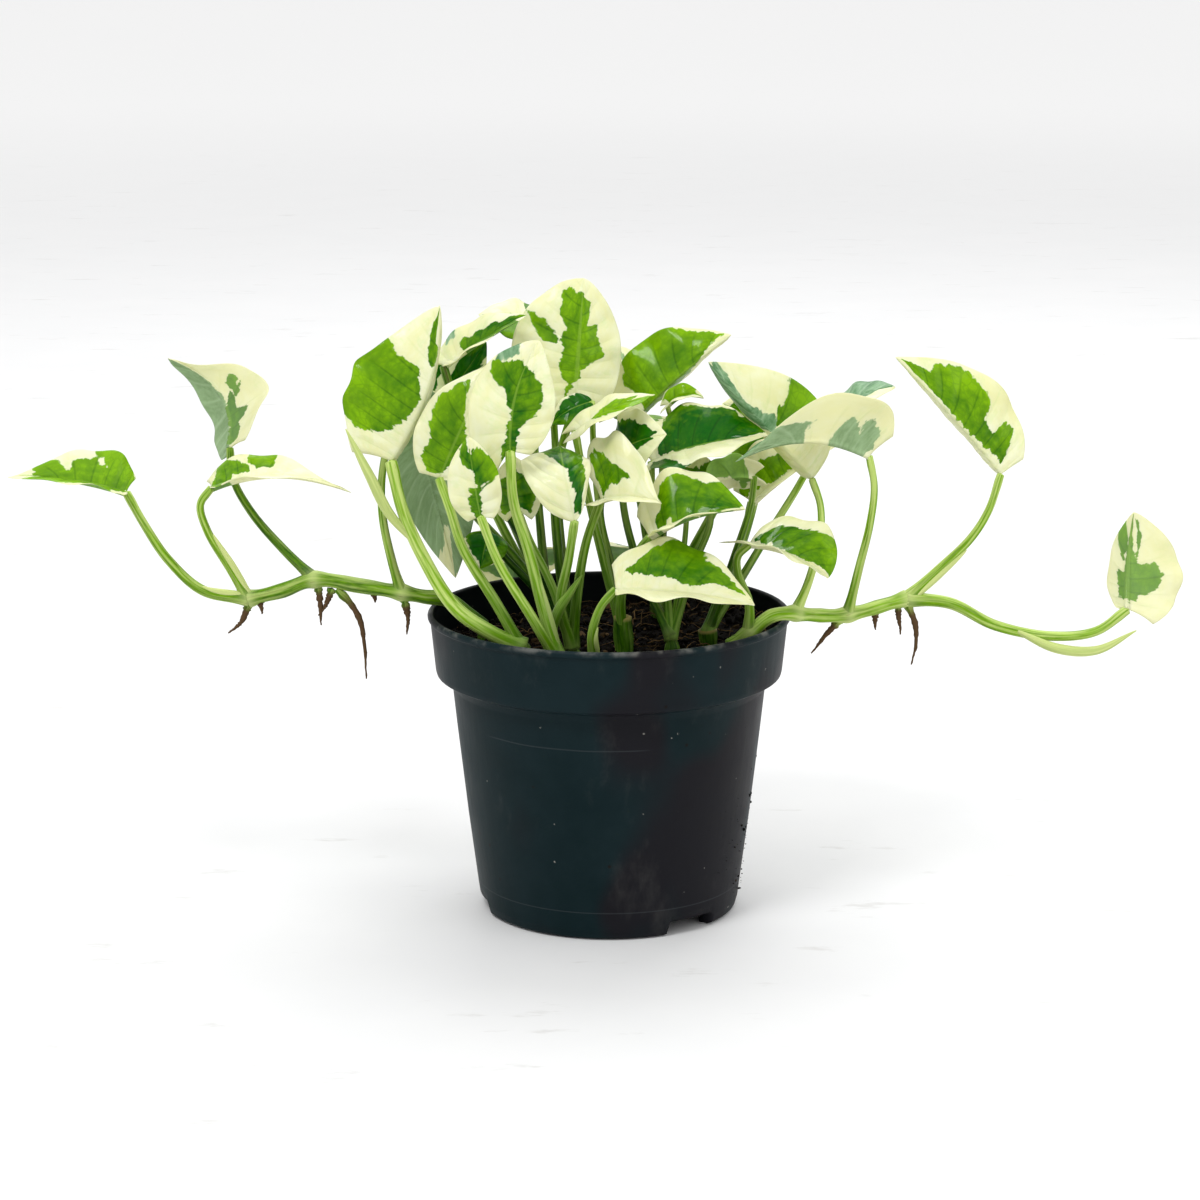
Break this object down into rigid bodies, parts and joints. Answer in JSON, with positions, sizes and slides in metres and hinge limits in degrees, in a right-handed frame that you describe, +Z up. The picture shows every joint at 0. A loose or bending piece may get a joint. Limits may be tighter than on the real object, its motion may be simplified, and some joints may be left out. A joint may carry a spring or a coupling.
{
  "type": "potted pothos plant",
  "caption": "Young variegated pothos with cream and green heart-shaped leaves in a round nursery pot; two rooting vines reach out over the rim.",
  "frame": {"origin": "centre of the pot's foot, on the surface it stands on", "axes": "+Z up along the pot's axis; +X to the plant's right as seen from the front, along the vine that reaches furthest; -Y is the front"},
  "size_m": [0.4165, 0.1534, 0.2252],
  "materials": {
    "pot_plastic": "satin",
    "soil_peat": "matte",
    "stem_green": "satin",
    "leaf_variegated": "satin"
  },
  "bodies": {
    "root": {"cutting_a": "stem_green", "cutting_b": "stem_green", "cutting_c": "stem_green", "cutting_d": "stem_green", "cutting_e": "stem_green", "cutting_f": "stem_green", "cutting_g": "stem_green", "cutting_h": "stem_green", "cutting_i": "stem_green", "cutting_j": "stem_green", "leaf_cutting_a_1": "leaf_variegated", "leaf_cutting_a_2": "leaf_variegated", "leaf_cutting_b_1": "leaf_variegated", "leaf_cutting_b_2": "leaf_variegated", "leaf_cutting_c_1": "leaf_variegated", "leaf_cutting_c_2": "leaf_variegated", "leaf_cutting_c_3": "leaf_variegated", "leaf_cutting_d_1": "leaf_variegated", "leaf_cutting_e_1": "leaf_variegated", "leaf_cutting_e_2": "leaf_variegated", "leaf_cutting_e_3": "leaf_variegated", "leaf_cutting_e_4": "leaf_variegated", "leaf_cutting_f_1": "leaf_variegated", "leaf_cutting_f_2": "leaf_variegated", "leaf_cutting_f_3": "leaf_variegated", "leaf_cutting_f_4": "leaf_variegated", "leaf_cutting_g_1": "leaf_variegated", "leaf_cutting_g_2": "leaf_variegated", "leaf_cutting_g_3": "leaf_variegated", "leaf_cutting_g_4": "leaf_variegated", "leaf_cutting_h_1": "leaf_variegated", "leaf_cutting_h_2": "leaf_variegated", "leaf_cutting_h_3": "leaf_variegated", "leaf_cutting_h_4": "leaf_variegated", "leaf_cutting_h_5": "leaf_variegated", "leaf_cutting_i_1": "leaf_variegated", "leaf_cutting_i_2": "leaf_variegated", "leaf_cutting_i_3": "leaf_variegated", "leaf_cutting_i_4": "leaf_variegated", "leaf_cutting_j_1": "leaf_variegated", "leaf_cutting_j_2": "leaf_variegated", "leaf_cutting_j_3": "leaf_variegated", "leaf_cutting_j_4": "leaf_variegated", "leaf_vine_left_1": "leaf_variegated", "leaf_vine_left_2": "leaf_variegated", "leaf_vine_left_3": "leaf_variegated", "leaf_vine_left_4": "leaf_variegated", "leaf_vine_right_1": "leaf_variegated", "leaf_vine_right_2": "leaf_variegated", "leaf_vine_right_3": "leaf_variegated", "leaf_vine_right_4": "leaf_variegated", "leaf_vine_right_5": "leaf_variegated", "pot": "pot_plastic", "soil": "soil_peat", "vine_left": "stem_green", "vine_right": "stem_green"}
  },
  "joints": []
}
